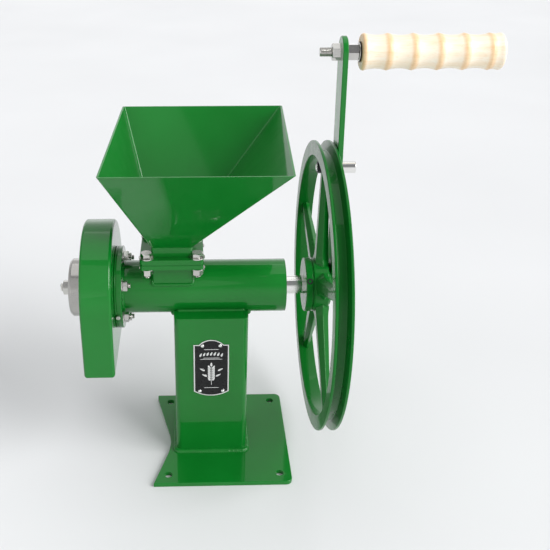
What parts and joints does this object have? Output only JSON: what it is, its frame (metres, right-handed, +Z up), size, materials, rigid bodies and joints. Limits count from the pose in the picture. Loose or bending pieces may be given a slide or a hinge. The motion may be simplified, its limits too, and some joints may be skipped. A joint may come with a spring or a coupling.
{
  "type": "hand-cranked grain mill",
  "caption": "Steel pedestal grain mill with a square funnel hopper, enclosed burr head, belt-groove flywheel and a crank with a turned wooden grip.",
  "frame": {"origin": "on the floor, on the base plate's underside, under the middle of the column", "axes": "+X along the main shaft towards the flywheel, +Y towards the back, +Z up"},
  "size_m": [0.5768, 0.4, 0.5977],
  "materials": {
    "green_paint": "glossy green paint on sheet and plate steel",
    "green_cast": "glossy green paint on a sand casting",
    "zinc_steel": "zinc-plated fasteners",
    "black_steel": "black oxide steel",
    "ground_steel": "cold-drawn and ground steel",
    "cast_iron": "bare machined cast iron",
    "aluminium": "turned aluminium",
    "bronze": "oil-filled sintered bronze",
    "felt": "wool felt",
    "black_enamel": "black enamel with a bright border, no lettering",
    "bright_rivet": "bright drive rivets",
    "pale_wood": "pale hardwood under clear lacquer"
  },
  "bodies": {
    "frame": {"base_plate": "green_paint", "base_weld": "green_paint", "column": "green_paint", "column_caps": "green_paint", "saddle_welds": "green_paint", "barrel": "green_paint", "barrel_weld": "green_paint", "throat_tube": "green_paint", "throat_flange": "green_paint", "throat_gasket": "green_paint", "hopper_flange": "green_paint", "hopper": "green_paint", "flange_bolts": "zinc_steel", "flange_washers": "zinc_steel", "flange_nuts": "zinc_steel", "head_flange": "green_paint", "burr_seat": "green_paint", "fixed_burr": "cast_iron", "head_bolts": "zinc_steel", "head_washers": "zinc_steel", "head_nuts": "zinc_steel", "guard": "green_paint", "head_screw": "zinc_steel", "bushing_carrier": "ground_steel", "shaft_bushing": "bronze", "grain_seal": "felt", "bearing_carrier": "ground_steel", "bearing_outer_race": "ground_steel", "bearing_balls": "ground_steel", "bearing_shield": "ground_steel", "nameplate": "black_enamel", "nameplate_rivets": "bright_rivet"},
    "crank": {"main_shaft": "ground_steel", "auger": "cast_iron", "burr_key": "ground_steel", "wheel_key": "ground_steel", "burr_spring": "ground_steel", "bearing_inner_race": "ground_steel", "flywheel": "green_cast", "set_screw": "black_steel", "crank_arm": "green_paint", "arm_spacer": "zinc_steel", "arm_stud": "ground_steel", "stud_nut": "black_steel", "shaft_end_bolt": "zinc_steel", "shaft_end_washer": "zinc_steel", "handle_bolt": "zinc_steel", "handle_nuts": "zinc_steel", "handle_washers": "black_steel"},
    "burr": {"turning_burr": "cast_iron", "thrust_washer": "ground_steel"},
    "knob": {"adjusting_knob": "aluminium", "lock_nut": "zinc_steel"},
    "grip": {"handle_grip": "pale_wood"}
  },
  "joints": [
    {"name": "crank_spin", "type": "hinge", "parent": "frame", "child": "crank", "pos_m": [0, 0, 0.257], "axis": [1, 0, 0], "continuous": true},
    {"name": "handle_spin", "type": "hinge", "parent": "crank", "child": "grip", "pos_m": [0.278, 0.03057, 0.57453], "axis": [1, 0, 0], "continuous": true},
    {"name": "burr_gap", "type": "slide", "parent": "crank", "child": "burr", "axis": [1, 0, 0], "range_m": [-0.0017, 0.00036]},
    {"name": "knob_turn", "type": "hinge", "parent": "burr", "child": "knob", "pos_m": [-0.18, 0, 0.257], "axis": [1, 0, 0], "range_deg": [-318, 68]}
  ],
  "couplings": [
    {"joint": "knob_turn", "follows": "burr_gap", "rad_per_m": 3215.4}
  ]
}
